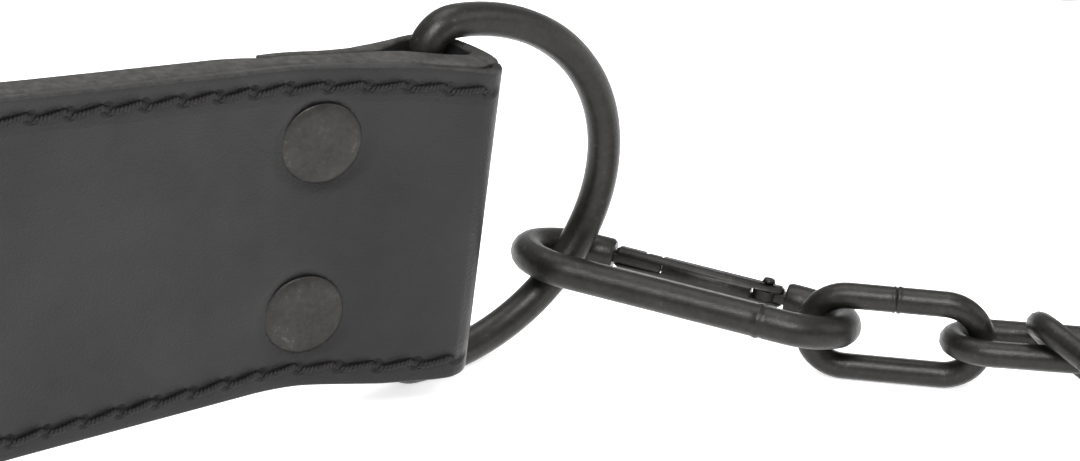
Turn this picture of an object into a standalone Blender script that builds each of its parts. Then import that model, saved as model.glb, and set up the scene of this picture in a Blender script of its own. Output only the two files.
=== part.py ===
"""Leather dip belt at rest: a C of leather on its lower edge, with a chain hooked to a D-ring at each end.

Metres, +Z up, floor at Z = 0. The belt is the same on both sides of the plane Y = 0 and opens towards +X.
Places on the leather are given by two lengths in mm: along, from the rivet line towards the end of the
strap, and deep, from the outside face inwards.
"""
import math

import bmesh
import bpy
from mathutils import Matrix, Vector

MM = 0.001

# The leather's plan, seen from above
ARM_LENGTH = 130.0
ARM_CLOSING = math.radians(12.0)
BACK_RADIUS = 159.2
BACK_STEP = math.radians(6.4)
RIVET_TO_END = 42.5
TAB_BEND = math.radians(21.2)
BEND_FROM, BEND_TO = -12.0, 7.0
ARM_STATIONS = (-12.0, -18.0, -24.0, -36.0, -50.0, -68.0)

# The leather's layers
COVER_THICK = 2.6
LAYER_GAP = 0.3
STRAP_THICK = 7.0
STRAP_DEEP = COVER_THICK + LAYER_GAP
EDGE_ROUND = 0.9

# Width along the belt: (distance from the end, width)
WIDTHS = (
    (0.0, 77.0),
    (8.0, 79.5),
    (22.0, 81.4),
    (42.5, 81.2),
    (115.0, 87.9),
    (160.0, 93.0),
    (210.0, 103.0),
    (270.0, 126.0),
    (335.0, 147.0),
    (410.0, 158.6),
)

# The strap where it folds back round the ring: (outside along, outside deep, inside along, inside deep).
# It runs from the thin end of the flap, round the nose, to the rivets.
FOLD = (
    (-13.0, 9.5, -13.0, 8.5),
    (-7.0, 10.0, -7.0, 8.3),
    (0.0, 10.3, 0.0, 8.3),
    (5.5, 11.2, 5.5, 8.9),
    (10.0, 13.1, 10.0, 10.2),
    (14.5, 15.2, 14.5, 11.6),
    (19.5, 17.9, 19.5, 15.6),
    (24.5, 20.9, 24.5, 18.7),
    (29.0, 21.8, 28.5, 19.4),
    (34.5, 19.9, 33.2, 17.8),
    (38.8, 16.3, 36.0, 14.8),
    (41.5, 12.0, 36.4, 13.2),
    (42.2, 8.2, 35.6, 12.0),
    (39.4, 6.3, 34.0, 10.9),
    (37.0, 3.7, 31.5, 10.1),
    (33.5, 2.9, 28.0, 9.9),
    (24.0, 2.9, 22.0, 9.9),
    (17.0, 2.9, 16.0, 9.9),
    (11.0, 2.9, 11.0, 9.4),
    (6.5, 2.9, 6.5, 8.6),
    (0.0, 2.9, 0.0, 8.0),
    (-6.0, 2.9, -6.0, 8.0),
)
STRAP_SEAT = ((-12.0, 8.1), (-18.0, 9.3))

# The cover's nose, past the straight part: (outside along, outside deep, inside along, inside deep)
COVER_NOSE = (
    (42.5, 7.3, 39.9, 6.0),
    (42.2, 4.7, 39.5, 5.0),
    (41.0, 2.4, 38.4, 3.9),
    (39.0, 0.8, 37.2, 3.1),
    (36.0, 0.0, 35.4, 2.6),
    (24.0, 0.0, 24.0, 2.6),
    (11.0, 0.0, 11.0, 2.6),
    (7.0, 0.0, 7.0, 2.6),
    (3.0, 0.0, 3.0, 2.6),
    (-1.0, 0.0, -1.0, 2.6),
    (-5.0, 0.0, -5.0, 2.6),
    (-9.0, 0.0, -9.0, 2.6),
)

# Rivets
RIVET_SPACING = 43.5
CAP_RADIUS = 9.8
CAP_SEAT = 0.9
CAP_RIM = 0.7
CAP_DOME = 0.9
POST_RADIUS = 2.5
BACK_PLATE_RADIUS = 6.0
BACK_PLATE_THICK = 1.2
FLAP_BACK = 10.3
FIT = 0.3
SEAT_FIT = 0.4

# D-ring
RING_WIRE = 4.1
RING_HALF_HEIGHT = 45.0
RING_CORNER = 8.0
RING_REACH = 59.0
RING_ALONG, RING_DEEP = 25.8, 14.4

# How the leather rests: its ends lean down until the rings and the back's lower edge touch the floor
REST_LEAN = math.radians(5.7)
BELT_HEIGHT = 64.2

# From the middle of the back's curve to the middle of the whole, which is the origin
ORIGIN_AHEAD = 138.3

# Snap hook
HOOK_WIRE = 4.1
HOOK_LENGTH = 88.5
HOOK_HALF_WIDTH = 13.0
NOSE_AT = 23.4
HINGE_AT = 62.6
SHOULDER_AT = 67.6
GATE_HALF_WIDTH, GATE_HALF_THICK = 3.5, 2.8
GATE_GAP = 0.5
SHOULDER_GAP = 0.8
TONGUE_THICK, TONGUE_HALF_WIDTH = 2.0, 2.4
SLOT_THICK = 2.6
LATCH_FROM, LATCH_TO = 31.6, 35.2
LATCH_HALF_HEIGHT = 2.3
PIN_RADIUS, PIN_HEAD_RADIUS, PIN_HEAD_HEIGHT = 1.1, 1.7, 0.8
PIN_FIT = 0.25

# Chain
LINK_WIRE = 3.1
LINK_HALF_LENGTH = 21.3
LINK_HALF_WIDTH = 9.6
LINK_LEVEL = 9.8
LINK_LEAN = 45.0

# Where the hook and the first links lie, near side: (x, y, z, heading, pitch, roll), mm and degrees. The hook's
# place is the end of its wire's middle line in the D-ring, a link's is its middle. Roll is how far it leans
# from upright.
HOOK_PLACE = (185.7, -112.8, 22.9, -40.1, -6.2, 103.5)
LINK_PLACES = (
    (257.6, -169.9, 12.9, -32.7, 0.0, 1.0),
    (288.4, -187.0, 12.2, -28.2, -1.2, 102.0),
    (293.4, -207.2, 13.3, -77.0, -9.7, -44.8),
)

# Each further link, up to the middle link, which lies across Y = 0: its heading, and how far its middle is
# from the places where it meets its neighbours
CHAIN_ROUTE = (
    (-50.0, 17.3),
    (-16.0, 17.3),
    (15.0, 17.3),
    (44.0, 17.3),
    (63.0, 17.4),
    (80.0, 17.6),
    (90.0, 17.95),
    (90.0, 17.95),
    (90.0, 17.95),
    (90.0, 17.95),
)

WIRE_SIDES = 8
LINK_SIDES = 6
ROUND_SIDES = 16
PIN_SIDES = 10


def leather_width(distance):
    for (before, first), (after, second) in zip(WIDTHS, WIDTHS[1:]):
        if distance <= after:
            share = (distance - before) / (after - before)
            return first + (second - first) * share
    return WIDTHS[-1][1]


def outside_line(along):
    """Point and outward direction on the near arm's outside face, at this length from its rivet line."""
    tip_run = ARM_LENGTH - RIVET_TO_END
    closing = ARM_CLOSING
    turn = closing - math.pi / 2
    joint = BACK_RADIUS * Vector((math.cos(turn), math.sin(turn)))
    ahead = Vector((math.cos(closing), math.sin(closing)))
    if along < -tip_run:
        swept = turn - (-tip_run - along) / BACK_RADIUS
        out = Vector((math.cos(swept), math.sin(swept)))
        return BACK_RADIUS * out, out
    point = joint + (tip_run + min(along, BEND_FROM)) * ahead
    bend_length = BEND_TO - BEND_FROM
    turned = TAB_BEND * min(max(along - BEND_FROM, 0.0), bend_length) / bend_length
    radius = bend_length / TAB_BEND
    if along > BEND_FROM:
        chord = 2 * radius * math.sin(turned / 2)
        middle = closing - turned / 2
        point = point + chord * Vector((math.cos(middle), math.sin(middle)))
    heading = closing - turned
    if along > BEND_TO:
        point = point + (along - BEND_TO) * Vector((math.cos(heading), math.sin(heading)))
    return point, Vector((math.sin(heading), -math.cos(heading)))


def plan_point(along, deep):
    point, out = outside_line(along)
    return point - deep * out


def station(along_out, deep_out, along_in, deep_in):
    """One section of a leather layer: its outside point, its inside point and half its width."""
    width = leather_width(RIVET_TO_END - (along_out + along_in) / 2)
    return plan_point(along_out, deep_out), plan_point(along_in, deep_in), width / 2


def back_stations(deep_out, deep_in):
    """Sections from the arm, round the back, to the middle of the belt."""
    found = [station(along, deep_out, along, deep_in) for along in ARM_STATIONS]
    tip_run = ARM_LENGTH - RIVET_TO_END
    sweep = math.pi / 2 + ARM_CLOSING
    steps = round(sweep / BACK_STEP)
    for step in range(steps + 1):
        along = -tip_run - BACK_RADIUS * sweep * step / steps
        found.append(station(along, deep_out, along, deep_in))
    return found


def both_sides(half):
    """The near half's sections, then the same ones across the plane Y = 0."""
    far = [(Vector((a.x, -a.y)), Vector((b.x, -b.y)), w) for a, b, w in reversed(half[:-1])]
    return half + far


def leather_mesh(name, sections):
    """A closed band through the sections, with its four long edges rounded off."""
    shape = bmesh.new()
    rows = []
    for outside, inside, half in sections:
        across = inside - outside
        cut = min(EDGE_ROUND, 0.3 * across.length)
        step = across.normalized() * cut
        plan = (
            (outside, half - cut),
            (outside + step, half),
            (inside - step, half),
            (inside, half - cut),
            (inside, cut - half),
            (inside - step, -half),
            (outside + step, -half),
            (outside, cut - half),
        )
        rows.append([shape.verts.new((p.x * MM, p.y * MM, z * MM)) for p, z in plan])
    for row, after in zip(rows, rows[1:]):
        for i in range(len(row)):
            j = (i + 1) % len(row)
            shape.faces.new((row[i], row[j], after[j], after[i]))
    shape.faces.new(rows[0])
    shape.faces.new(rows[-1])
    bmesh.ops.recalc_face_normals(shape, faces=shape.faces)
    mesh = bpy.data.meshes.new(name)
    shape.to_mesh(mesh)
    shape.free()
    return mesh


def tube_mesh(name, points, radius, sides, closed):
    """Round wire along the points, all in the XY plane."""
    shape = bmesh.new()
    count = len(points)
    rows = []
    for i, point in enumerate(points):
        before = points[i - 1] if closed or i else point
        after = points[(i + 1) % count] if closed or i + 1 < count else point
        ahead = (after - before).normalized()
        side = Vector((ahead.y, -ahead.x, 0))
        row = []
        for k in range(sides):
            turn = 2 * math.pi * (k + 0.5) / sides
            offset = side * math.cos(turn) + Vector((0, 0, 1)) * math.sin(turn)
            row.append(shape.verts.new((point + radius * offset) * MM))
        rows.append(row)
    pairs = list(zip(rows, rows[1:]))
    if closed:
        pairs.append((rows[-1], rows[0]))
    for row, after in pairs:
        for k in range(sides):
            j = (k + 1) % sides
            shape.faces.new((row[k], row[j], after[j], after[k]))
    if not closed:
        shape.faces.new(rows[0])
        shape.faces.new(rows[-1])
    bmesh.ops.recalc_face_normals(shape, faces=shape.faces)
    mesh = bpy.data.meshes.new(name)
    shape.to_mesh(mesh)
    shape.free()
    return mesh


def arc(centre, radius_x, radius_y, start, end, steps):
    """Points on part of an ellipse, angles in degrees."""
    found = []
    for i in range(steps + 1):
        turn = math.radians(start + (end - start) * i / steps)
        found.append(centre + Vector((radius_x * math.cos(turn), radius_y * math.sin(turn), 0)))
    return found


def lathe_mesh(name, profile, sides=ROUND_SIDES):
    """A solid of revolution about Z through (radius, height) points, both ends on the axis."""
    shape = bmesh.new()
    turn = math.pi / sides
    side = Vector((math.cos(turn), math.sin(turn), 0))
    verts = [shape.verts.new((r * side + Vector((0, 0, z))) * MM) for r, z in profile]
    edges = [shape.edges.new(pair) for pair in zip(verts, verts[1:])]
    bmesh.ops.spin(
        shape,
        geom=verts + edges,
        cent=(0, 0, 0),
        axis=(0, 0, 1),
        angle=2 * math.pi,
        steps=sides,
        use_merge=True,
    )
    bmesh.ops.remove_doubles(shape, verts=shape.verts, dist=1e-6)
    bmesh.ops.recalc_face_normals(shape, faces=shape.faces)
    mesh = bpy.data.meshes.new(name)
    shape.to_mesh(mesh)
    shape.free()
    return mesh


def box_mesh(name, low, high):
    shape = bmesh.new()
    bmesh.ops.create_cube(shape, size=1.0)
    for v in shape.verts:
        share = v.co + Vector((0.5, 0.5, 0.5))
        v.co = Vector([MM * (a + (b - a) * s) for a, b, s in zip(low, high, share)])
    bmesh.ops.recalc_face_normals(shape, faces=shape.faces)
    mesh = bpy.data.meshes.new(name)
    shape.to_mesh(mesh)
    shape.free()
    return mesh


def material(name, colour, metallic, roughness):
    made = bpy.data.materials.new(name)
    made.use_nodes = True
    shader = made.node_tree.nodes["Principled BSDF"]
    shader.inputs["Base Color"].default_value = (*colour, 1.0)
    shader.inputs["Metallic"].default_value = metallic
    shader.inputs["Roughness"].default_value = roughness
    return made


def add(name, mesh, group, look=None, place=None, parent=None):
    made = bpy.data.objects.new(name, mesh)
    group.objects.link(made)
    if look:
        mesh.materials.append(look)
    made.parent = parent
    if place is not None:
        made.matrix_local = place
    return made


def cut(target, cutter, operation="DIFFERENCE"):
    modifier = target.modifiers.new(cutter.name, "BOOLEAN")
    modifier.operation = operation
    modifier.solver = "EXACT"
    modifier.object = cutter


def frame_of(origin, x_axis, y_axis):
    """A placing matrix from an origin in mm and two axes."""
    x_axis = x_axis.normalized()
    z_axis = x_axis.cross(y_axis).normalized()
    y_axis = z_axis.cross(x_axis)
    turned = Matrix((x_axis, y_axis, z_axis)).transposed().to_4x4()
    return Matrix.Translation(origin * MM) @ turned


def lying(place):
    """A placing matrix from x, y, z, heading, pitch and roll."""
    x, y, z, heading, pitch, roll = place
    heading, pitch, roll = (math.radians(v) for v in (heading, pitch, roll))
    ahead = Vector(
        (math.cos(heading) * math.cos(pitch), math.sin(heading) * math.cos(pitch), math.sin(pitch))
    )
    level = Vector((-math.sin(heading), math.cos(heading), 0))
    up = ahead.cross(level)
    return frame_of(Vector((x, y, z)), ahead, up * math.cos(roll) + level * math.sin(roll))


def across_plane(place):
    """The same place on the other side of Y = 0, for a shape that is the same on both sides of its own XY plane."""
    return Matrix.Diagonal((1, -1, 1, 1)) @ place @ Matrix.Diagonal((1, 1, -1, 1))


def leather(group, helpers, parent, look_strap, look_cover):
    strap_half = [station(*row) for row in FOLD]
    strap_half += [station(along, STRAP_DEEP, along, deep) for along, deep in STRAP_SEAT]
    back = back_stations(STRAP_DEEP, STRAP_DEEP + STRAP_THICK)
    strap_half += back[2:]
    cover_half = [station(*row) for row in COVER_NOSE] + back_stations(0.0, COVER_THICK)
    strap = add("strap", leather_mesh("strap", both_sides(strap_half)), group, look_strap, parent=parent)
    cover = add("cover", leather_mesh("cover", both_sides(cover_half)), group, look_cover, parent=parent)
    bore = POST_RADIUS + FIT
    plate_seat = BACK_PLATE_RADIUS + SEAT_FIT
    profile = (
        (0.0, -FLAP_BACK - 12.0),
        (plate_seat, -FLAP_BACK - 12.0),
        (plate_seat, -FLAP_BACK),
        (bore, -FLAP_BACK),
        (bore, -CAP_SEAT),
        (CAP_RADIUS + SEAT_FIT, -CAP_SEAT),
        (CAP_RADIUS + SEAT_FIT, 12.0),
        (0.0, 12.0),
    )
    for name, place in rivet_places():
        cutter = helper("bore_" + name, lathe_mesh("bore", profile), helpers, place, parent)
        cut(strap, cutter)
        cut(cover, cutter)


def rivet_places():
    """Each rivet's name and place: its origin on the outside face, +Z outwards."""
    point, out = outside_line(0.0)
    found = []
    for level, height in (("upper", RIVET_SPACING / 2), ("lower", -RIVET_SPACING / 2)):
        z_axis = Vector((out.x, out.y, 0))
        x_axis = Vector((0, 0, 1)).cross(z_axis)
        near = frame_of(Vector((point.x, point.y, height)), x_axis, Vector((0, 0, 1)))
        found.append(("near_" + level, near))
        far = Matrix.Diagonal((1, -1, 1, 1)) @ near @ Matrix.Diagonal((-1, 1, 1, 1))
        found.append(("far_" + level, far))
    return found


def rivets(group, parent, look):
    under = -CAP_SEAT + FIT
    back = -FLAP_BACK - FIT
    profile = (
        (0.0, CAP_DOME),
        (0.5 * CAP_RADIUS, 0.85 * CAP_DOME),
        (0.85 * CAP_RADIUS, 0.4 * CAP_DOME),
        (CAP_RADIUS, under + 0.5 * CAP_RIM),
        (0.97 * CAP_RADIUS, under),
        (POST_RADIUS, under),
        (POST_RADIUS, back),
        (BACK_PLATE_RADIUS, back),
        (BACK_PLATE_RADIUS, back - 0.6 * BACK_PLATE_THICK),
        (0.8 * BACK_PLATE_RADIUS, back - BACK_PLATE_THICK),
        (0.0, back - BACK_PLATE_THICK),
    )
    for name, place in rivet_places():
        add("rivet_" + name, lathe_mesh("rivet", profile), group, look, place, parent)


def ring_place():
    """The D-ring's place: its origin in the middle of its bar, +X towards its bow, +Y up."""
    origin = plan_point(RING_ALONG, RING_DEEP)
    ahead = Vector((math.cos(ARM_CLOSING), math.sin(ARM_CLOSING), 0))
    return frame_of(Vector((origin.x, origin.y, 0)), ahead, Vector((0, 0, 1)))


def rings(group, parent, look):
    low = Vector((RING_CORNER, RING_CORNER - RING_HALF_HEIGHT, 0))
    high = Vector((RING_CORNER, RING_HALF_HEIGHT - RING_CORNER, 0))
    bow = Vector((RING_CORNER, 0, 0))
    line = arc(high, RING_CORNER, RING_CORNER, 180, 90, 5)[:-1]
    line += arc(bow, RING_REACH - RING_CORNER, RING_HALF_HEIGHT, 90, -90, 16)
    line += arc(low, RING_CORNER, RING_CORNER, -90, -180, 5)[1:]
    near = ring_place()
    for name, place in (("near", near), ("far", across_plane(near))):
        mesh = tube_mesh("ring", line, RING_WIRE, WIRE_SIDES, True)
        add("ring_" + name, mesh, group, look, place, parent)


def hooks(group, helpers, parent, look_hook, look_gate):
    half = HOOK_HALF_WIDTH
    first = Vector((HOOK_WIRE + half, 0, 0))
    last = Vector((HOOK_LENGTH - HOOK_WIRE - half, 0, 0))
    line = [Vector((NOSE_AT, half, 0))]
    line += arc(first, half, half, 90, 270, 10)
    line += arc(last, half, half, -90, 90, 10)
    tongue_low = -TONGUE_THICK / 2
    tongue_high = TONGUE_THICK / 2
    slot = SLOT_THICK / 2
    grip = TONGUE_HALF_WIDTH
    parts = (
        ("nose", (NOSE_AT - 3, half - grip, tongue_low), (LATCH_TO, half + grip - 0.6, tongue_high)),
        ("latch", (LATCH_FROM, half - 0.4, -LATCH_HALF_HEIGHT), (LATCH_TO, half + grip - 0.4, LATCH_HALF_HEIGHT)),
        ("knuckle", (HINGE_AT - 3, half - grip, tongue_low), (SHOULDER_AT + 4, half + grip, tongue_high)),
    )
    gate_from = NOSE_AT + GATE_GAP
    gate_to = SHOULDER_AT - SHOULDER_GAP
    slots = (
        ("nose_slot", (gate_from - 5, half - 9, -slot), (LATCH_TO + 1.0, half + 9, slot)),
        ("latch_slot", (LATCH_FROM - 0.5, half - 0.8, -9), (LATCH_TO + 0.6, half + 9, 9)),
        ("knuckle_slot", (HINGE_AT - 4, half - 9, -slot), (gate_to + 5, half + 9, slot)),
    )
    head = GATE_HALF_THICK + FIT
    pin_profile = (
        (0.0, -head - PIN_HEAD_HEIGHT),
        (0.8 * PIN_HEAD_RADIUS, -head - PIN_HEAD_HEIGHT),
        (PIN_HEAD_RADIUS, -head),
        (PIN_RADIUS, -head),
        (PIN_RADIUS, head),
        (PIN_HEAD_RADIUS, head),
        (0.8 * PIN_HEAD_RADIUS, head + PIN_HEAD_HEIGHT),
        (0.0, head + PIN_HEAD_HEIGHT),
    )
    bore_profile = (
        (0.0, -9.0),
        (PIN_RADIUS + PIN_FIT, -9.0),
        (PIN_RADIUS + PIN_FIT, 9.0),
        (0.0, 9.0),
    )
    start = Matrix.Translation(Vector((-HOOK_WIRE, 0, 0)) * MM)
    hinge = Matrix.Translation(Vector((HINGE_AT, half, 0)) * MM)
    near = lying(HOOK_PLACE) @ start
    for side, place in (("near", near), ("far", across_plane(lying(HOOK_PLACE)) @ start)):
        wire = tube_mesh("hook", line + [Vector((SHOULDER_AT, half, 0))], HOOK_WIRE, WIRE_SIDES, False)
        body = add("hook_" + side, wire, group, look_hook, place, parent)
        for name, low, high in parts:
            tool = helper(name + "_" + side, box_mesh(name, low, high), helpers, place, parent)
            cut(body, tool, "UNION")
        bore = helper("pin_bore_" + side, lathe_mesh("pin_bore", bore_profile, PIN_SIDES), helpers, place @ hinge, parent)
        cut(body, bore)
        bar = gate_mesh(gate_from - HINGE_AT, gate_to - HINGE_AT)
        gate = add("gate_" + side, bar, group, look_gate, place @ hinge, parent)
        for name, low, high in slots:
            cut(gate, helper(name + "_" + side, box_mesh(name, low, high), helpers, place, parent))
        cut(gate, bore)
        add("pin_" + side, lathe_mesh("pin", pin_profile, PIN_SIDES), group, look_hook, place @ hinge, parent)


def gate_mesh(start, end):
    """The gate's bar, an oval section along X, its ends chamfered."""
    shape = bmesh.new()
    rows = []
    for x, size in ((start, 0.75), (start + 0.9, 1.0), (end - 0.9, 1.0), (end, 0.75)):
        row = []
        for k in range(12):
            turn = 2 * math.pi * (k + 0.5) / 12
            y = GATE_HALF_WIDTH * size * math.cos(turn)
            z = GATE_HALF_THICK * size * math.sin(turn)
            row.append(shape.verts.new((x * MM, y * MM, z * MM)))
        rows.append(row)
    for row, after in zip(rows, rows[1:]):
        for k in range(12):
            j = (k + 1) % 12
            shape.faces.new((row[k], row[j], after[j], after[k]))
    shape.faces.new(rows[0])
    shape.faces.new(rows[-1])
    bmesh.ops.recalc_face_normals(shape, faces=shape.faces)
    mesh = bpy.data.meshes.new("gate")
    shape.to_mesh(mesh)
    shape.free()
    return mesh


def helper(name, mesh, helpers, place, parent):
    made = add(name, mesh, helpers, place=place, parent=parent)
    made.hide_render = True
    made.display_type = "WIRE"
    return made


def chain(group, parent, look):
    straight = LINK_HALF_LENGTH - LINK_HALF_WIDTH
    line = arc(Vector((straight, 0, 0)), LINK_HALF_WIDTH, LINK_HALF_WIDTH, -90, 90, 6)
    line += arc(Vector((-straight, 0, 0)), LINK_HALF_WIDTH, LINK_HALF_WIDTH, 90, 270, 6)
    places = list(LINK_PLACES)
    x, y, _, heading, _, _ = places[-1]
    step = Vector((math.cos(math.radians(heading)), math.sin(math.radians(heading)), 0))
    joint = Vector((x, y, LINK_LEVEL)) + CHAIN_ROUTE[0][1] * step
    lean = LINK_LEAN
    for heading, reach in CHAIN_ROUTE:
        step = Vector((math.cos(math.radians(heading)), math.sin(math.radians(heading)), 0))
        middle = joint + reach * step
        places.append((*middle, heading, 0.0, lean))
        joint = middle + reach * step
        lean = -lean
    for i, place in enumerate(places):
        for side, spot in (("near", lying(place)), ("far", across_plane(lying(place)))):
            mesh = tube_mesh("link", line, LINK_WIRE, LINK_SIDES, True)
            add(f"link_{side}_{i + 1}", mesh, group, look, spot, parent)
    middle = (joint.x, 0.0, LINK_LEVEL, 90.0, 0.0, lean)
    mesh = tube_mesh("link", line, LINK_WIRE, LINK_SIDES, True)
    add("link_middle", mesh, group, look, lying(middle), parent)


def main():
    for old in list(bpy.data.objects):
        bpy.data.objects.remove(old, do_unlink=True)
    group = bpy.data.collections.new("dip_belt")
    helpers = bpy.data.collections.new("cutters")
    bpy.context.scene.collection.children.link(group)
    bpy.context.scene.collection.children.link(helpers)
    look_strap = material("strap_leather", (0.09, 0.088, 0.085), 0.0, 0.6)
    look_cover = material("cover_leather", (0.055, 0.054, 0.054), 0.0, 0.5)
    look_rivet = material("rivet_metal", (0.05, 0.048, 0.045), 0.6, 0.4)
    look_ring = material("ring_metal", (0.045, 0.045, 0.043), 0.6, 0.42)
    look_hook = material("hook_metal", (0.05, 0.05, 0.047), 0.6, 0.4)
    look_gate = material("gate_metal", (0.045, 0.045, 0.043), 0.6, 0.45)
    look_link = material("link_metal", (0.05, 0.05, 0.048), 0.6, 0.4)
    whole = bpy.data.objects.new("whole", None)
    group.objects.link(whole)
    whole.location.x = -ORIGIN_AHEAD * MM
    rest = bpy.data.objects.new("belt_rest", None)
    group.objects.link(rest)
    rest.parent = whole
    rest.matrix_local = Matrix.Translation((0, 0, BELT_HEIGHT * MM)) @ Matrix.Rotation(REST_LEAN, 4, "Y")
    leather(group, helpers, rest, look_strap, look_cover)
    rivets(group, rest, look_rivet)
    rings(group, rest, look_ring)
    hooks(group, helpers, whole, look_hook, look_gate)
    chain(group, whole, look_link)


main()
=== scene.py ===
"""Looks of a leather dip belt: fine leather, thread, round wire hardware, camera and studio."""

import math

import bmesh
import bpy
from mathutils import Matrix, Vector


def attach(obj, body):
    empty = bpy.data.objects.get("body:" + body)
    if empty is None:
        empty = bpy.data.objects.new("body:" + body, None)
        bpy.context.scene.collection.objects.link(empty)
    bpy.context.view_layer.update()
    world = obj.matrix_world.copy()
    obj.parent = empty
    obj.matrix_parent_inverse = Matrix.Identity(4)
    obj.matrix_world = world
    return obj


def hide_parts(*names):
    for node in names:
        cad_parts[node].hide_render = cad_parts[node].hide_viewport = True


bl_info = {
    "name": "Dip Belt Looks",
    "version": (1, 0, 0),
    "blender": (4, 5, 0),
    "location": "View3D > Sidebar > Dip Belt",
    "description": "Builds the leather, thread and wire hardware of a dip belt, and its studio",
    "category": "Object",
}

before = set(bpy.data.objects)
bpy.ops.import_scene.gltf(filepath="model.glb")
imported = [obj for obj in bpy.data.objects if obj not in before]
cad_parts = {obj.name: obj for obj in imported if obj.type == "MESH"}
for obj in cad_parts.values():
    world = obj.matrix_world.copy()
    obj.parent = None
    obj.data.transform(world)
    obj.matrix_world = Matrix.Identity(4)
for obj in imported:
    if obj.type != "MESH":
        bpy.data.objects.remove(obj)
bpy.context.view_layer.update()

MM = 0.001

# Plan of the leather, in mm: the same driving sizes as the frame
ARM_LENGTH, ARM_CLOSING = 130.0, math.radians(12.0)
BACK_RADIUS = 159.2
RIVET_TO_END = 42.5
TAB_BEND = math.radians(21.2)
BEND_FROM, BEND_TO = -12.0, 7.0
BACK_END = -(ARM_LENGTH - RIVET_TO_END) - BACK_RADIUS * (math.pi / 2 + ARM_CLOSING)
# Height of the leather: (distance back from the tip, edge to edge)
WIDTHS = (
    (0.0, 77.0),
    (8.0, 79.5),
    (22.0, 81.4),
    (42.5, 81.2),
    (115.0, 87.9),
    (160.0, 93.0),
    (210.0, 103.0),
    (270.0, 126.0),
    (335.0, 147.0),
    (410.0, 158.6),
)

# The strap's fold round the ring: (outside along, outside deep, inside along, inside deep)
FOLD = (
    (-13.0, 9.5, -13.0, 8.5),
    (-7.0, 10.0, -7.0, 8.3),
    (0.0, 10.3, 0.0, 8.3),
    (5.5, 11.2, 5.5, 8.9),
    (10.0, 13.1, 10.0, 10.2),
    (14.5, 15.2, 14.5, 11.6),
    (19.5, 17.9, 19.5, 15.6),
    (24.5, 20.9, 24.5, 18.7),
    (29.0, 21.8, 28.5, 19.4),
    (34.5, 19.9, 33.2, 17.8),
    (38.8, 16.3, 36.0, 14.8),
    (41.5, 12.0, 36.4, 13.2),
    (42.2, 8.2, 35.6, 12.0),
    (39.4, 6.3, 34.0, 10.9),
    (37.0, 3.7, 31.5, 10.1),
    (33.5, 2.9, 28.0, 9.9),
    (24.0, 2.9, 22.0, 9.9),
    (17.0, 2.9, 16.0, 9.9),
    (11.0, 2.9, 11.0, 9.4),
    (6.5, 2.9, 6.5, 8.6),
    (0.0, 2.9, 0.0, 8.0),
    (-6.0, 2.9, -6.0, 8.0),
    (-12.0, 2.9, -12.0, 8.1),
    (-18.0, 2.9, -18.0, 9.3),
    (-24.0, 2.9, -24.0, 9.9),
)
# The cover's rounded end, with the same columns
NOSE = (
    (42.5, 7.3, 39.9, 6.0),
    (42.2, 4.7, 39.5, 5.0),
    (41.0, 2.4, 38.4, 3.9),
    (39.0, 0.8, 37.2, 3.1),
    (36.0, 0.0, 35.4, 2.6),
    (24.0, 0.0, 24.0, 2.6),
)
COVER_WALL = 2.6
STRAP_FROM, STRAP_TO = 2.9, 9.9
COVER_ROUNDING, STRAP_ROUNDING = 0.7, 1.0

# How the belt lies: its ends lean down, and the whole's origin is ahead of the back's middle
ORIGIN_AHEAD, BELT_HEIGHT, BELT_LEAN = 138.3, 64.2, math.radians(5.7)
REST = Matrix.Translation((-ORIGIN_AHEAD * MM, 0, BELT_HEIGHT * MM)) @ Matrix.Rotation(
    BELT_LEAN, 4, "Y"
)

STITCH_PITCH, STITCH_IN = 9.5, 5.0
STRAND_TURNS, STRAND_STEPS = 5, 30
HOLE_DISH, GROOVE_DISH = 4.0, 6.0

RIVET_SPACING, CAP_RADIUS = 43.5, 9.8
CAP_RISE, CAP_SEAT, CAP_CLEARANCE = 0.95, 0.95, 0.3
RING_HALF_HEIGHT, RING_CORNER, RING_REACH = 45.0, 8.0, 59.0
RING_ALONG, RING_DEEP = 25.8, 14.4
HOOK_LENGTH, HOOK_HALF_WIDTH = 88.5, 13.0
NOSE_AT, HINGE_AT, SHOULDER_AT = 23.4, 62.6, 67.6
LATCH_FROM, LATCH_TO = 31.6, 35.2
TONGUE_HALF, KNUCKLE_RADIUS = 1.15, 3.5
# The hook's ridge on its closed side and the link's weld seam: (place along, swelling of the wire)
RIDGE = ((63.0, 1.0), (64.0, 1.0), (64.6, 1.05), (65.4, 1.06), (66.0, 0.97), (66.8, 1.0))
SEAM = (
    (1.6, 1.0),
    (1.1, 1.0),
    (0.7, 1.05),
    (0.2, 1.06),
    (-0.2, 0.95),
    (-0.7, 1.05),
    (-1.1, 1.0),
    (-1.6, 1.0),
)
LINK_HALF_LENGTH, LINK_HALF_WIDTH, LINK_LEVEL, LINK_LEAN = 21.3, 9.6, 9.8, 45.0
# Places of the hook and the first links: (x, y, z, heading, pitch, roll)
HOOK_PLACE = (185.7, -112.8, 22.9, -40.1, -6.2, 103.5)
LINK_PLACES = (
    (257.6, -169.9, 12.9, -32.7, 0.0, 1.0),
    (288.4, -187.0, 12.2, -28.2, -1.2, 102.0),
    (293.4, -207.2, 13.3, -77.0, -9.7, -44.8),
)
# The other links up to the middle one: (heading, reach from its middle to its neighbour's joint)
CHAIN_ROUTE = (
    (-50.0, 17.3),
    (-16.0, 17.3),
    (15.0, 17.3),
    (44.0, 17.3),
    (63.0, 17.4),
    (80.0, 17.6),
    (90.0, 17.95),
    (90.0, 17.95),
    (90.0, 17.95),
    (90.0, 17.95),
)


# The photo's view: compass angle, rise and roll in degrees, aim and distance in mm,
# focal length in picture widths
VIEW_TURNS = (-25.7, 26.72, 1.99)
VIEW_AIM, VIEW_DISTANCE = (53.2, -106.89, 23.82), 884.53
FOCAL_WIDTHS, SENSOR_WIDTH = 3560.0 / 1080.0, 36.0

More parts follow.
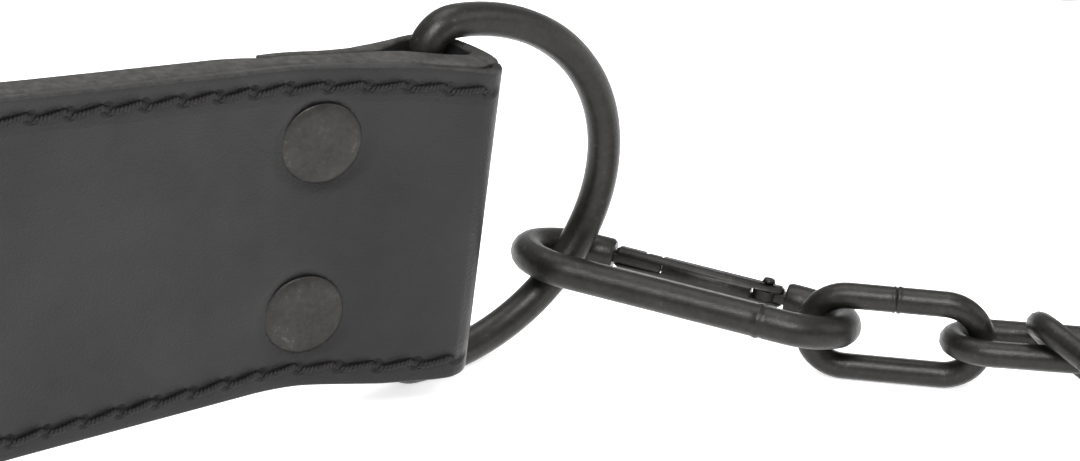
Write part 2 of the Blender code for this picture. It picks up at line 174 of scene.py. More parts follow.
# Lamps: (name, place in m, size in m, power in W)
LAMPS = (
    ("key", (-0.5, -1.2, 1.5), 0.8, 34.0),
    ("fill", (1.8, -1.1, 1.2), 1.6, 14.0),
    ("top", (0.2, 0.5, 2.4), 2.0, 34.0),
)
LAMP_AIM = (0.06, -0.1, 0.03)


def hex_linear(text):
    """An sRGB hex colour as linear RGBA."""
    parts = [int(text[i : i + 2], 16) / 255 for i in (0, 2, 4)]
    return (*[c / 12.92 if c <= 0.04045 else ((c + 0.055) / 1.055) ** 2.4 for c in parts], 1.0)


def tinted(colour, factor):
    """The colour made lighter or darker by the factor."""
    return tuple(min(1.0, c * factor) for c in colour[:3]) + (1.0,)


# Shapes


def width_at(along):
    """Height of the leather, edge to edge, at this place along the near arm."""
    distance = RIVET_TO_END - along
    for (before, first), (after, second) in zip(WIDTHS, WIDTHS[1:]):
        if distance <= after:
            return first + (second - first) * (distance - before) / (after - before)
    return WIDTHS[-1][1]


def outside_line(along):
    """Point and outward direction on the near arm's outside face."""
    tip_run = ARM_LENGTH - RIVET_TO_END
    turn = ARM_CLOSING - math.pi / 2
    if along < -tip_run:
        swept = turn - (-tip_run - along) / BACK_RADIUS
        out = Vector((math.cos(swept), math.sin(swept)))
        return BACK_RADIUS * out, out
    joint = BACK_RADIUS * Vector((math.cos(turn), math.sin(turn)))
    ahead = Vector((math.cos(ARM_CLOSING), math.sin(ARM_CLOSING)))
    point = joint + (tip_run + min(along, BEND_FROM)) * ahead
    length = BEND_TO - BEND_FROM
    turned = TAB_BEND * min(max(along - BEND_FROM, 0.0), length) / length
    if along > BEND_FROM:
        chord = 2 * length / TAB_BEND * math.sin(turned / 2)
        middle = ARM_CLOSING - turned / 2
        point = point + chord * Vector((math.cos(middle), math.sin(middle)))
    heading = ARM_CLOSING - turned
    if along > BEND_TO:
        point = point + (along - BEND_TO) * Vector((math.cos(heading), math.sin(heading)))
    return point, Vector((math.sin(heading), -math.cos(heading)))


def plan_point(along, deep):
    """Point in plan this far along, and this deep in from the outside face."""
    point, out = outside_line(along)
    return point - deep * out


def smooth_rows(rows, steps):
    """Rows of numbers with a curve through them."""
    found = []
    for i in range(len(rows) - 1):
        quad = [rows[max(0, i - 1)], rows[i], rows[i + 1], rows[min(len(rows) - 1, i + 2)]]
        for k in range(steps):
            t = k / steps
            row = []
            for a, b, c, d in zip(*quad):
                bend = (2 * a - 5 * b + 4 * c - d) * t * t + (3 * (b - c) + d - a) * t**3
                row.append(0.5 * (2 * b + (c - a) * t + bend))
            found.append(row)
    return found + [list(rows[-1])]


def belt_rows(ends, deep_out, deep_in):
    """Rows from the near tip to the middle of the back."""
    rows = smooth_rows(ends, 4)
    along = ends[-1][0]
    while along > BACK_END + 1e-6:
        step = 1.5 if along > -16 else 3.0 if along > -90 else 5.0
        along = max(BACK_END, along - step)
        rows.append([along, deep_out, along, deep_in])
    return rows


def section(row, rounding, fine):
    """Points round one section.

    Each is (plan point, height, along, distance in from the edge, edge part).
    """
    along_out, deep_out, along_in, deep_in = row
    outside = plan_point(along_out, deep_out)
    inside = plan_point(along_in, deep_in)
    along = (along_out + along_in) / 2
    half = width_at(along) / 2
    across = inside - outside
    cut = min(rounding, 0.42 * across.length)
    step = across.normalized() * cut
    found = []
    for k in range(fine + 1):
        share = 1 - 2 * k / fine
        height = share * (half - cut)
        found.append((outside, height, along, half - abs(height), 0.0))
    lower, upper = [], []
    for k in range(1, 5):
        turn = math.pi / 2 * k / 4
        shift = step * (1 - math.cos(turn))
        height = half - cut + cut * math.sin(turn)
        lower.append((outside + shift, -height, along, 0.0, 1.0))
        upper.append((inside - shift, height, along, 0.0, 1.0))
    found += lower
    for k in range(4, 0, -1):
        turn = math.pi / 2 * k / 4
        point = inside - step * (1 - math.cos(turn))
        found.append((point, -(half - cut + cut * math.sin(turn)), along, 0.0, 1.0))
    for k in range(7):
        height = (2 * k / 6 - 1) * (half - cut)
        found.append((inside, height, along, half - abs(height), 0.5))
    found += upper
    for k in range(4, 0, -1):
        turn = math.pi / 2 * k / 4
        point = outside + step * (1 - math.cos(turn))
        found.append((point, half - cut + cut * math.sin(turn), along, 0.0, 1.0))
    return found


def loft(rows, rounding, fine, dent):
    """Leather through the rows and their mirror across Y = 0, with its own coordinates kept on it."""
    shape = bmesh.new()
    belt = shape.verts.layers.float_vector.new("belt")
    tone = shape.verts.layers.float.new("edge_part")
    start = end = None
    for row, side in [(row, 1) for row in rows] + [(row, -1) for row in reversed(rows[:-1])]:
        points = section(row, rounding, fine)
        if end is None:
            start = end = shape.faces.new([shape.verts.new() for _ in points])
        else:
            made = bmesh.ops.extrude_face_region(shape, geom=[end])["geom"]
            if end is not start:
                shape.faces.remove(end)
            end = next(item for item in made if isinstance(item, bmesh.types.BMFace))
        for loop, (point, height, along, inwards, part) in zip(end.loops, points):
            sunk = dent(along, height) if part == 0.0 else 0.0
            if sunk:
                point = point - sunk * outside_line(along)[1]
            run = along if side > 0 else 2 * BACK_END - along
            loop.vert.co = REST @ (Vector((point.x, side * point.y, height)) * MM)
            loop.vert[belt] = Vector((run, height, inwards)) * MM
            loop.vert[tone] = part
    bmesh.ops.recalc_face_normals(shape, faces=shape.faces)
    return shape


def keep(name, shape, body, nodes, look, smooth=55.0):
    """Makes the shape an object at the origin that rides on its body and stands for its nodes."""
    if isinstance(shape, bmesh.types.BMesh):
        mesh = bpy.data.meshes.new(name)
        shape.to_mesh(mesh)
        shape.free()
    else:
        mesh = shape
        mesh.name = name
    made = bpy.data.objects.new(name, mesh)
    bpy.context.scene.collection.objects.link(made)
    mesh.materials.clear()
    mesh.materials.append(look)
    mesh.shade_smooth()
    mesh.set_sharp_from_angle(angle=math.radians(smooth))
    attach(made, body)
    if nodes:
        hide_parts(*nodes)
    return made


def wires(paths, radius, sides=6):
    """Round wire along each path, as one mesh. A path is (points, closed, swell per point)."""
    data = bpy.data.curves.new("wire", "CURVE")
    data.dimensions = "3D"
    data.bevel_depth = radius * MM
    data.bevel_resolution = sides
    data.use_fill_caps = True
    data.twist_mode = "MINIMUM"
    for points, closed, swell in paths:
        spline = data.splines.new("POLY")
        spline.points.add(len(points) - 1)
        for point, place, factor in zip(spline.points, points, swell):
            point.co = (*(place * MM), 1.0)
            point.radius = factor
        spline.use_cyclic_u = closed
    made = bpy.data.objects.new("wire", data)
    bpy.context.scene.collection.objects.link(made)
    bpy.context.view_layer.update()
    graph = bpy.context.evaluated_depsgraph_get()
    mesh = bpy.data.meshes.new_from_object(made.evaluated_get(graph))
    bpy.data.objects.remove(made)
    bpy.data.curves.remove(data)
    return mesh


def arc(centre, radius_x, radius_y, start, end, steps):
    """Points on part of an ellipse in the XY plane, between two angles in degrees."""
    found = []
    for i in range(steps + 1):
        turn = math.radians(start + (end - start) * i / steps)
        found.append(centre + Vector((radius_x * math.cos(turn), radius_y * math.sin(turn), 0)))
    return found


def frame_of(origin, x_axis, y_axis):
    """A placing matrix from its origin, its X axis and a line on the Y side of it."""
    x_axis = x_axis.normalized()
    z_axis = x_axis.cross(y_axis).normalized()
    turned = Matrix((x_axis, z_axis.cross(x_axis), z_axis)).transposed().to_4x4()
    return Matrix.Translation(origin) @ turned


def lying(place):
    """A placing matrix in mm, from x, y, z, heading, pitch and roll before the shift to the origin."""
    x, y, z, heading, pitch, roll = place
    heading, pitch, roll = (math.radians(v) for v in (heading, pitch, roll))
    ahead = Vector(
        (math.cos(heading) * math.cos(pitch), math.sin(heading) * math.cos(pitch), math.sin(pitch))
    )
    level = Vector((-math.sin(heading), math.cos(heading), 0))
    up = ahead.cross(level)
    return frame_of(
        Vector((x - ORIGIN_AHEAD, y, z)), ahead, up * math.cos(roll) + level * math.sin(roll)
    )


def across_plane(place):
    """The place mirrored across Y = 0."""
    return Matrix.Diagonal((1, -1, 1, 1)) @ place @ Matrix.Diagonal((1, 1, -1, 1))


def lathe(profile, place, steps=72):
    """A turned shape about Z of the place, through (radius, height) points in mm."""
    shape = bmesh.new()
    verts = [shape.verts.new((r * MM, 0, z * MM)) for r, z in profile]
    edges = [shape.edges.new(pair) for pair in zip(verts, verts[1:])]
    bmesh.ops.spin(
        shape,
        geom=verts + edges,
        cent=(0, 0, 0),
        axis=(0, 0, 1),
        angle=2 * math.pi,
        steps=steps,
        use_merge=True,
    )
    bmesh.ops.remove_doubles(shape, verts=shape.verts, dist=1e-6)
    bmesh.ops.recalc_face_normals(shape, faces=shape.faces)
    bmesh.ops.transform(shape, matrix=place, verts=shape.verts)
    return shape


def rivet_places():
    """Name and placing matrix in m of each rivet, with Z outwards."""
    point, out = outside_line(0.0)
    upright = Vector((0, 0, 1))
    found = []
    for level, height in (("upper", RIVET_SPACING / 2), ("lower", -RIVET_SPACING / 2)):
        sideways = upright.cross(Vector((out.x, out.y, 0)))
        near = frame_of(Vector((point.x, point.y, height)) * MM, sideways, upright)
        far = Matrix.Diagonal((1, -1, 1, 1)) @ near @ Matrix.Diagonal((-1, 1, 1, 1))
        found += [("near_" + level, REST @ near), ("far_" + level, REST @ far)]
    return found


# Materials


def add_node(tree, kind, settings=None, links=None):
    """A node with its settings, its inputs linked or set."""
    node = tree.nodes.new(kind)
    for name, value in (settings or {}).items():
        setattr(node, name, value)
    for name, value in (links or {}).items():
        if isinstance(value, bpy.types.NodeSocket):
            tree.links.new(value, node.inputs[name])
        else:
            node.inputs[name].default_value = value
    return node


def material(name, roughness, metallic=0.0, specular=0.5):
    """A new material, its node tree and its shader."""
    made = bpy.data.materials.new(name)
    made.use_nodes = True
    shader = made.node_tree.nodes["Principled BSDF"]
    shader.inputs["Roughness"].default_value = roughness
    shader.inputs["Metallic"].default_value = metallic
    shader.inputs["Specular IOR Level"].default_value = specular
    return made, made.node_tree, shader


def noise(tree, vector, scale, detail, rough=0.55):
    """Cloudy grey, with its scale in patches per metre."""
    links = {"Vector": vector, "Scale": scale, "Detail": detail, "Roughness": rough}
    return add_node(tree, "ShaderNodeTexNoise", None, links).outputs["Fac"]


def ramp(tree, factor, stops):
    """Colour of the factor, from stops of (place, colour or grey)."""
    made = add_node(tree, "ShaderNodeValToRGB", None, {"Fac": factor})
    elements = made.color_ramp.elements
    while len(elements) < len(stops):
        elements.new(0.5)
    for element, (place, colour) in zip(elements, stops):
        element.position = place
        element.color = (colour,) * 3 + (1.0,) if isinstance(colour, float) else colour
    return made.outputs["Color"]


def maths(tree, operation, first, second=0.0, third=0.0):
    """Result of one sum."""
    links = {0: first, 1: second, 2: third}
    return add_node(tree, "ShaderNodeMath", {"operation": operation}, links).outputs[0]


def mix(tree, blend, factor, first, second):
    """Two colours laid together."""
    settings = {"data_type": "RGBA", "blend_type": blend}
    links = {"Factor": factor, 6: first, 7: second}
    return add_node(tree, "ShaderNodeMix", settings, links).outputs[2]


def bump(tree, height, strength, distance, normal=None):
    """Surface normal over the height, with its distance in m."""
    links = {"Height": height, "Strength": strength, "Distance": distance}
    if normal is not None:
        links["Normal"] = normal
    return add_node(tree, "ShaderNodeBump", None, links).outputs["Normal"]


def leather_look(name, faces, edge, stitched, roughness):
    """Full-grain cowhide: fine pores of 0.4 mm, soft mottling of 20 mm, a burnished edge; when
    stitched, painted shade darkens the leather round each stitch hole.
    """
    made, tree, shader = material(name, roughness, 0.0, 0.22)
    belt = add_node(tree, "ShaderNodeAttribute", {"attribute_name": "belt"}).outputs["Vector"]
    part = add_node(tree, "ShaderNodeAttribute", {"attribute_name": "edge_part"}).outputs["Fac"]
    place = add_node(tree, "ShaderNodeTexCoord").outputs["Object"]
    mottle = noise(tree, place, 38.0, 3.0)
    grain = noise(tree, place, 1500.0, 3.0, 0.7)
    settings = {"feature": "DISTANCE_TO_EDGE"}
    cells = add_node(tree, "ShaderNodeTexVoronoi", settings, {"Vector": place, "Scale": 900.0})
    skin = ramp(tree, mottle, ((0.3, faces[0]), (0.7, faces[1])))
    fibre = noise(tree, place, 420.0, 5.0, 0.7)
    rim = ramp(tree, fibre, ((0.3, edge[0]), (0.72, edge[1])))
    chosen = ramp(tree, part, ((0.55, 0.0), (0.95, 1.0)))
    colour = mix(tree, "MIX", chosen, skin, rim)
    height = maths(tree, "MULTIPLY_ADD", grain, 0.5, cells.outputs["Distance"])
    normal = bump(tree, height, 0.6, 0.0002)
    if stitched:
        split = add_node(tree, "ShaderNodeSeparateXYZ", None, {0: belt})
        run = maths(tree, "DIVIDE", split.outputs["X"], STITCH_PITCH * MM)
        past_hole = maths(tree, "MULTIPLY", maths(tree, "PINGPONG", run, 0.5), STITCH_PITCH * MM)
        past_row = maths(tree, "SUBTRACT", split.outputs["Z"], STITCH_IN * MM)
        across = maths(tree, "MULTIPLY", past_row, past_row)
        ahead = maths(tree, "MULTIPLY", past_hole, past_hole)
        reach = maths(tree, "SQRT", maths(tree, "ADD", across, ahead))
        reach = maths(tree, "DIVIDE", reach, HOLE_DISH * MM)
        hole = ramp(tree, reach, ((0.12, 0.0), (0.5, 1.0)))
        off_row = maths(tree, "DIVIDE", maths(tree, "ABSOLUTE", past_row), GROOVE_DISH * MM)
        groove = ramp(tree, off_row, ((0.05, 0.45), (0.6, 1.0)))
        normal = bump(tree, maths(tree, "ADD", hole, groove), 0.8, 0.0008, normal)
        # Painted shade: the leather's colour darkens to a quarter towards each stitch hole, standing
        # in for the shade that falls into the hole.
        colour = mix(tree, "MULTIPLY", 1.0, colour, ramp(tree, hole, ((0.0, 0.25), (0.8, 1.0))))
    tree.links.new(colour, shader.inputs["Base Color"])
    soft = noise(tree, place, 90.0, 3.0)
    gloss = ramp(tree, soft, ((0.3, roughness - 0.08), (0.75, roughness + 0.1)))
    tree.links.new(gloss, shader.inputs["Roughness"])
    tree.links.new(normal, shader.inputs["Normal"])
    return made


def metal_look(name, dark, light, roughness):
    """Phosphated and oiled steel: fine 0.3 mm tooth, worn lighter patches of 8 mm."""
    made, tree, shader = material(name, roughness, 0.75)
    place = add_node(tree, "ShaderNodeTexCoord").outputs["Object"]
    patch = noise(tree, place, 120.0, 4.0)
    tooth = noise(tree, place, 2600.0, 3.0, 0.65)
    worn = noise(tree, place, 700.0, 4.0, 0.75)
    mixed = maths(tree, "MULTIPLY_ADD", worn, 0.6, maths(tree, "MULTIPLY", patch, 0.4))
    stops = ((0.36, dark), (0.6, light), (0.72, tinted(light, 3.0)))
    colour = ramp(tree, mixed, stops)
    tree.links.new(colour, shader.inputs["Base Color"])
    gloss = ramp(tree, tooth, ((0.3, roughness - 0.06), (0.75, roughness + 0.12)))
    tree.links.new(gloss, shader.inputs["Roughness"])
    height = maths(tree, "MULTIPLY_ADD", worn, 1.5, tooth)
    tree.links.new(bump(tree, height, 0.4, 0.00012), shader.inputs["Normal"])
    return made


def thread_look():
    """Waxed black polyester thread."""
    made, tree, shader = material("waxed_polyester_thread", 0.6, 0.0, 0.2)
    place = add_node(tree, "ShaderNodeTexCoord").outputs["Object"]
    fibre = noise(tree, place, 2200.0, 3.0)
    stops = ((0.3, hex_linear("0e0d0d")), (0.75, hex_linear("2a2828")))
    tree.links.new(ramp(tree, fibre, stops), shader.inputs["Base Color"])
    tree.links.new(bump(tree, fibre, 0.4, 0.0001), shader.inputs["Normal"])
    return made


def floor_look(colour):
    """Matt white studio sweep."""
    made, tree, shader = material("studio_sweep", 0.9, 0.0, 0.2)
    shader.inputs["Emission Color"].default_value = colour
    shader.inputs["Emission Strength"].default_value = 0.7
    place = add_node(tree, "ShaderNodeTexCoord").outputs["Object"]
    haze = noise(tree, place, 2.0, 2.0)
    paint = ramp(tree, haze, ((0.2, colour), (0.8, tinted(colour, 1.01))))
    tree.links.new(paint, shader.inputs["Base Color"])
    return made


# Settings and operators


class DipBeltSettings(bpy.types.PropertyGroup):
    leather_colour: bpy.props.FloatVectorProperty(
        name="Leather",
        description="Colour of the belt's outside face",
        subtype="COLOR",
        size=4,
        min=0.0,
        max=1.0,
        default=hex_linear("1b1a1a"),
    )
    metal_colour: bpy.props.FloatVectorProperty(
        name="Metal",
        description="Colour of the blackened wire and rivets",
        subtype="COLOR",
        size=4,
        min=0.0,
        max=1.0,
        default=hex_linear("2a2927"),
    )
    ring_wire: bpy.props.FloatProperty(
        name="Ring wire",
        description="Radius of the D-ring's and hook's wire",
        default=4.1 * MM,
        unit="LENGTH",
    )
    link_wire: bpy.props.FloatProperty(
        name="Link wire",
        description="Radius of the chain link's wire",
        default=3.2 * MM,
        unit="LENGTH",
    )
    thread: bpy.props.FloatProperty(
        name="Thread",
        description="Radius of one of the thread's two twisted strands",
        default=0.46 * MM,
        unit="LENGTH",
    )


class DIPBELT_OT_leather(bpy.types.Operator):
    """Make the thick strap and the thin cover"""

    bl_idname = "dipbelt.leather"
    bl_label = "Leather"

    def execute(self, context):
        base = tuple(context.scene.dip_belt.leather_colour)
        faces = (tinted(base, 0.8), tinted(base, 1.25))
        inner = (tinted(base, 0.9), tinted(base, 1.5))
        rim = (hex_linear("262524"), hex_linear("464543"))
        cover_rim = (hex_linear("1e1d1d"), hex_linear("343332"))

        def dent(along, height):
            """How far the rivets press the outside face in."""
            reach = math.hypot(along, abs(height) - RIVET_SPACING / 2)
            if reach < CAP_RADIUS + CAP_CLEARANCE:
                return CAP_SEAT
            return CAP_SEAT * max(0.0, 1 - (reach - CAP_RADIUS - CAP_CLEARANCE) / 3.2) ** 2

        cover = loft(belt_rows(NOSE, 0.0, COVER_WALL), COVER_ROUNDING, 64, dent)
        look = leather_look("full_grain_cowhide_cover", faces, cover_rim, True, 0.4)
        keep("leather_cover", cover, "belt", ["cover"], look)
        rows = belt_rows(FOLD, STRAP_FROM, STRAP_TO)
        strap = loft(rows, STRAP_ROUNDING, 12, lambda along, height: 0.0)
        look = leather_look("full_grain_cowhide_strap", inner, rim, False, 0.62)
        keep("leather_strap", strap, "belt", ["strap"], look)
        return {"FINISHED"}


class DIPBELT_OT_thread(bpy.types.Operator):
    """Sew both edges with twisted thread"""

    bl_idname = "dipbelt.thread"
    bl_label = "Thread"

    def execute(self, context):
        look = thread_look()
        radius = context.scene.dip_belt.thread / MM
        first = -math.floor(-BACK_END / STITCH_PITCH)

        def strand(side, sign, index, phase):
            """One of the two strands of a stitch, on the near or far arm and upper or lower row."""
            points = []
            for k in range(STRAND_STEPS + 1):
                t = k / STRAND_STEPS
                along = max((index + t) * STITCH_PITCH, BACK_END)
                lift = 0.65 * math.sin(math.pi * t) - 0.75 * (abs(2 * t - 1)) ** 6
                slant = 1.7 * (t - 0.45) - 8.0 * max(0.0, t - 0.85)
                height = sign * (width_at(along) / 2 - STITCH_IN) + slant
                turn = phase + 2 * STRAND_TURNS * math.pi * t
                twist = 0.85 * radius
                point = plan_point(along, -(lift + twist * math.cos(turn)))
                place = Vector((point.x, side * point.y, height + twist * math.sin(turn)))
                points.append((REST @ (place * MM)) / MM)
            return points, False, [1.0] * len(points)

        for level, sign in (("upper", 1), ("lower", -1)):
            paths = [
                strand(side, sign, index, phase)
                for side in (1, -1)
                for index in range(first, 4)
                for phase in (0.0, math.pi)
            ]
            mesh = wires(paths, radius, 1)
            keep("thread_" + level, mesh, "belt", [], look, 80.0)
        return {"FINISHED"}


class DIPBELT_OT_rings(bpy.types.Operator):
    """Make the two D-rings"""

    bl_idname = "dipbelt.rings"
    bl_label = "D-rings"

    def execute(self, context):
        settings = context.scene.dip_belt
        base = tuple(settings.metal_colour)
        look = metal_look("phosphated_steel_ring", tinted(base, 0.75), tinted(base, 1.2), 0.34)
        corner = RING_CORNER
        low = Vector((corner, corner - RING_HALF_HEIGHT, 0))
        high = Vector((corner, RING_HALF_HEIGHT - corner, 0))
        line = arc(high, corner, corner, 180, 90, 12)[:-1]
        line += arc(Vector((corner, 0, 0)), RING_REACH - corner, RING_HALF_HEIGHT, 90, -90, 72)
        line += arc(low, corner, corner, -90, -180, 12)[1:]
        origin = plan_point(RING_ALONG, RING_DEEP)
        ahead = Vector((math.cos(ARM_CLOSING), math.sin(ARM_CLOSING), 0))
        near = frame_of(Vector((origin.x, origin.y, 0)), ahead, Vector((0, 0, 1)))
        for side, place in (("near", near), ("far", across_plane(near))):
            points = [(REST @ ((place @ p) * MM)) / MM for p in line]
            mesh = wires([(points, True, [1.0] * len(points))], settings.ring_wire / MM, 6)
            keep("d_ring_" + side, mesh, "belt", ["ring_" + side], look)
        return {"FINISHED"}


class DIPBELT_OT_rivets(bpy.types.Operator):
    """Make the four rivets"""

    bl_idname = "dipbelt.rivets"
    bl_label = "Rivets"

    def execute(self, context):
        base = tuple(context.scene.dip_belt.metal_colour)
        look = metal_look("phosphated_steel_rivet", tinted(base, 0.8), tinted(base, 1.4), 0.4)
        cap = CAP_RADIUS
        profile = []
        for step in range(8):
            turn = step * math.pi / 16
            profile.append((cap * 0.96 * math.sin(turn), CAP_RISE * math.cos(turn)))
        profile += [(cap * 0.97, 0.1), (cap, -0.15), (cap * 0.99, -0.45), (cap * 0.97, -0.6)]
        profile += [(2.5, -0.6), (2.5, -10.6), (5.8, -10.6), (6.0, -10.9), (5.9, -11.4)]
        profile += [(4.8, -11.8), (0.0, -11.8)]
        for name, place in rivet_places():
            shape = lathe(profile, place)
            keep("cap_" + name, shape, "belt", ["rivet_" + name], look, 60.0)
        return {"FINISHED"}


def block(shape, low, high, edge):
    """A box with rounded edges added to the shape, corners in mm."""
    made = bmesh.ops.create_cube(shape, size=1.0)["verts"]
    for vert in made:
        share = vert.co + Vector((0.5, 0.5, 0.5))
        vert.co = Vector([a + (b - a) * s for a, b, s in zip(low, high, share)])
    edges = list({e for v in made for e in v.link_edges})
    bmesh.ops.bevel(
        shape, geom=edges, offset=edge, segments=2, profile=0.5, affect="EDGES", material=-1
    )


def smooth_copy(node):
    """The frame's piece with its faces joined up, so that it can be shaded smooth."""
    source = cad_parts[node]
    copy = bmesh.new()
    copy.from_mesh(source.data)
    copy.transform(source.matrix_world)
    bmesh.ops.remove_doubles(copy, verts=copy.verts, dist=1e-6)
    bmesh.ops.recalc_face_normals(copy, faces=copy.faces)
    return copy


class DIPBELT_OT_hooks(bpy.types.Operator):
    """Make the snap hooks with their gates and pins"""

    bl_idname = "dipbelt.hooks"
    bl_label = "Snap hooks"

    def execute(self, context):
        settings = context.scene.dip_belt
        base = tuple(settings.metal_colour)
        look = metal_look("phosphated_steel_hook", tinted(base, 0.6), tinted(base, 1.1), 0.36)
        gate_look = metal_look(
            "phosphated_steel_gate", tinted(base, 0.7), tinted(base, 1.3), 0.42
        )
        wire = settings.ring_wire / MM
        half = HOOK_HALF_WIDTH
        line = [Vector((NOSE_AT, half, 0)), Vector((NOSE_AT - 0.8, half, 0))]
        line += arc(Vector((wire + half, 0, 0)), half, half, 90, 270, 40)
        before = len(line)
        line += [Vector((x, -half, 0)) for x, _ in RIDGE]
        line += arc(Vector((HOOK_LENGTH - wire - half, 0, 0)), half, half, -90, 90, 40)
        line += [Vector((SHOULDER_AT + 0.8, half, 0)), Vector((SHOULDER_AT, half, 0))]
        swell = [0.86] + [1.0] * (len(line) - 2) + [0.9]
        swell[before : before + len(RIDGE)] = [factor for _, factor in RIDGE]
        thin = TONGUE_HALF
        tongues = (
            ((NOSE_AT - 3, half - 2.4, -thin), (LATCH_TO + 0.5, half + 1.8, thin), 0.2),
            ((LATCH_FROM, half - 0.4, -2 * thin), (LATCH_TO, half + 2.0, 2 * thin), 0.3),
            ((HINGE_AT, half - 2.6, -thin), (SHOULDER_AT + 4, half + 2.6, thin), 0.2),
        )
        start = Matrix.Translation((-wire, 0, 0))
        near = lying(HOOK_PLACE)
        for side, lies in (("near", near), ("far", across_plane(near))):
            place = lies @ start
            shape = bmesh.new()
            for low, high, edge in tongues:
                block(shape, low, high, edge)
            bmesh.ops.create_cone(
                shape,
                cap_ends=True,
                segments=40,
                radius1=KNUCKLE_RADIUS,
                radius2=KNUCKLE_RADIUS,
                depth=2 * thin,
                matrix=Matrix.Translation((HINGE_AT, half, 0)),
            )
            bmesh.ops.transform(shape, matrix=Matrix.Scale(MM, 4) @ place, verts=shape.verts)
            shape.from_mesh(wires([([place @ p for p in line], False, swell)], wire, 6))
            keep("hook_body_" + side, shape, "belt", ["hook_" + side], look, 40.0)
            gate, pin = "gate_" + side, "pin_" + side
            keep("fine_" + gate, smooth_copy(gate), gate, [gate], gate_look, 38.0)
            keep("fine_" + pin, smooth_copy(pin), "belt", [pin], look, 38.0)
        return {"FINISHED"}


def level_step(heading):
    """One step on the level, on this heading in degrees."""
    return Vector((math.cos(math.radians(heading)), math.sin(math.radians(heading)), 0))


class DIPBELT_OT_chain(bpy.types.Operator):
    """Make the chain's links"""

    bl_idname = "dipbelt.chain"
    bl_label = "Chain"

    def execute(self, context):
        settings = context.scene.dip_belt
        base = tuple(settings.metal_colour)
        look = metal_look("phosphated_steel_link", tinted(base, 0.65), tinted(base, 1.15), 0.36)
        straight = LINK_HALF_LENGTH - LINK_HALF_WIDTH
        half = LINK_HALF_WIDTH
        first = arc(Vector((straight, 0, 0)), half, half, -90, 90, 24)
        last = arc(Vector((-straight, 0, 0)), half, half, 90, 270, 24)
        line = first + [Vector((x, half, 0)) for x, _ in SEAM] + last
        swell = [1.0] * len(first) + [factor for _, factor in SEAM] + [1.0] * len(last)
        places = list(LINK_PLACES)
        x, y, _, heading, _, _ = places[-1]
        joint = Vector((x, y, LINK_LEVEL)) + CHAIN_ROUTE[0][1] * level_step(heading)
        lean = LINK_LEAN
        for heading, reach in CHAIN_ROUTE:
            middle = joint + reach * level_step(heading)
            places.append((*middle, heading, 0.0, lean))
            joint = middle + reach * level_step(heading)
            lean = -lean
        spots = [lying(place) for place in places]
        spots += [across_plane(spot) for spot in spots]
        spots.append(lying((joint.x, 0.0, LINK_LEVEL, 90.0, 0.0, lean)))
        paths = [([spot @ p for p in line], True, swell) for spot in spots]
        mesh = wires(paths, settings.link_wire / MM, 4)
        nodes = [f"link_{side}_{i + 1}" for side in ("near", "far") for i in range(len(places))]
        keep("chain_links", mesh, "belt", nodes + ["link_middle"], look, 60.0)
        return {"FINISHED"}


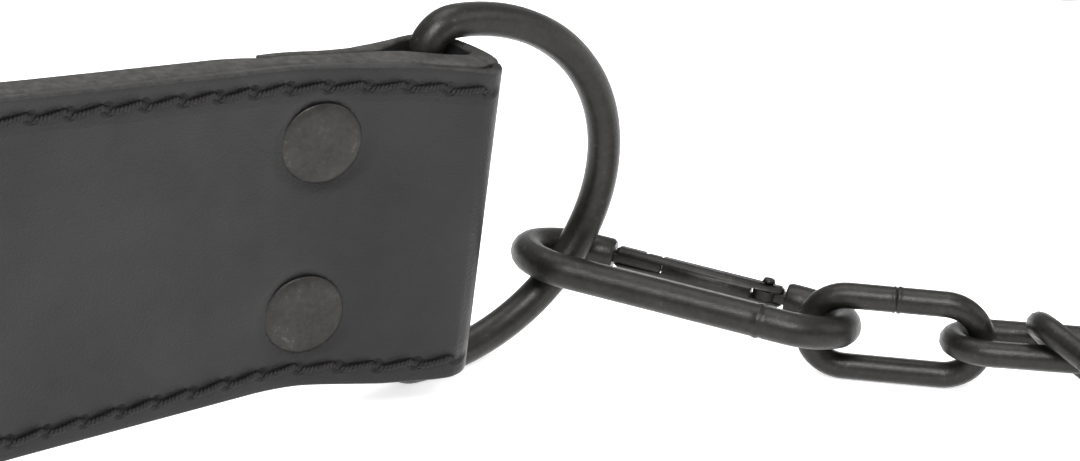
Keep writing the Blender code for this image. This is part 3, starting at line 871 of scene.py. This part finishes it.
class DIPBELT_OT_stage(bpy.types.Operator):
    """Set the floor, lights and camera"""

    bl_idname = "dipbelt.stage"
    bl_label = "Stage"

    def execute(self, context):
        scene = context.scene
        shape = bmesh.new()
        bmesh.ops.create_grid(shape, x_segments=2, y_segments=2, size=12.0)
        mesh = bpy.data.meshes.new("floor")
        shape.to_mesh(mesh)
        shape.free()
        floor = bpy.data.objects.new("floor", mesh)
        mesh.materials.append(floor_look(hex_linear("f6f6f6")))
        scene.collection.objects.link(floor)
        for name, place, size, power in LAMPS:
            data = bpy.data.lights.new(name, "AREA")
            data.shape = "DISK"
            data.size = size
            data.energy = power
            lamp = bpy.data.objects.new(name, data)
            lamp.location = place
            towards = Vector(LAMP_AIM) - Vector(place)
            lamp.rotation_euler = towards.to_track_quat("-Z", "Y").to_euler()
            scene.collection.objects.link(lamp)
        world = bpy.data.worlds.new("studio")
        world.use_nodes = True
        sky = world.node_tree.nodes["Background"]
        sky.inputs["Color"].default_value = hex_linear("ffffff")
        sky.inputs["Strength"].default_value = 0.62
        scene.world = world
        scene.view_settings.view_transform = "Standard"
        azimuth, rise, roll = (math.radians(v) for v in VIEW_TURNS)
        level = math.cos(rise)
        back = Vector((math.sin(azimuth) * level, -math.cos(azimuth) * level, math.sin(rise)))
        right = Vector((math.cos(azimuth), math.sin(azimuth), 0))
        up = back.cross(right)
        turned_right = right * math.cos(roll) + up * math.sin(roll)
        turned_up = up * math.cos(roll) - right * math.sin(roll)
        data = bpy.data.cameras.new("camera")
        data.sensor_fit = "HORIZONTAL"
        data.sensor_width = SENSOR_WIDTH
        data.lens = FOCAL_WIDTHS * SENSOR_WIDTH
        data.clip_start = 0.05
        data.clip_end = 60.0
        camera = bpy.data.objects.new("camera", data)
        turned = Matrix((turned_right, turned_up, back)).transposed().to_4x4()
        target = Vector(VIEW_AIM) * MM
        camera.matrix_world = Matrix.Translation(target + back * VIEW_DISTANCE * MM) @ turned
        scene.collection.objects.link(camera)
        scene.camera = camera
        return {"FINISHED"}


class DIPBELT_PT_panel(bpy.types.Panel):
    """Lists the belt's settings and the steps that make it"""

    bl_label = "Dip Belt"
    bl_idname = "DIPBELT_PT_panel"
    bl_space_type = "VIEW_3D"
    bl_region_type = "UI"
    bl_category = "Dip Belt"

    def draw(self, context):
        settings = context.scene.dip_belt
        for name in ("leather_colour", "metal_colour", "ring_wire", "link_wire", "thread"):
            self.layout.prop(settings, name)
        for step in STEPS:
            self.layout.operator("dipbelt." + step)


STEPS = ("leather", "thread", "rings", "rivets", "hooks", "chain", "stage")
CLASSES = (
    DipBeltSettings,
    DIPBELT_OT_leather,
    DIPBELT_OT_thread,
    DIPBELT_OT_rings,
    DIPBELT_OT_rivets,
    DIPBELT_OT_hooks,
    DIPBELT_OT_chain,
    DIPBELT_OT_stage,
    DIPBELT_PT_panel,
)


def register():
    for item in CLASSES:
        bpy.utils.register_class(item)
    bpy.types.Scene.dip_belt = bpy.props.PointerProperty(type=DipBeltSettings)


def unregister():
    del bpy.types.Scene.dip_belt
    for item in reversed(CLASSES):
        bpy.utils.unregister_class(item)


def main():
    """Makes the belt and its studio."""
    register()
    for step in STEPS:
        getattr(bpy.ops.dipbelt, step)()


if __name__ == "__main__":
    main()
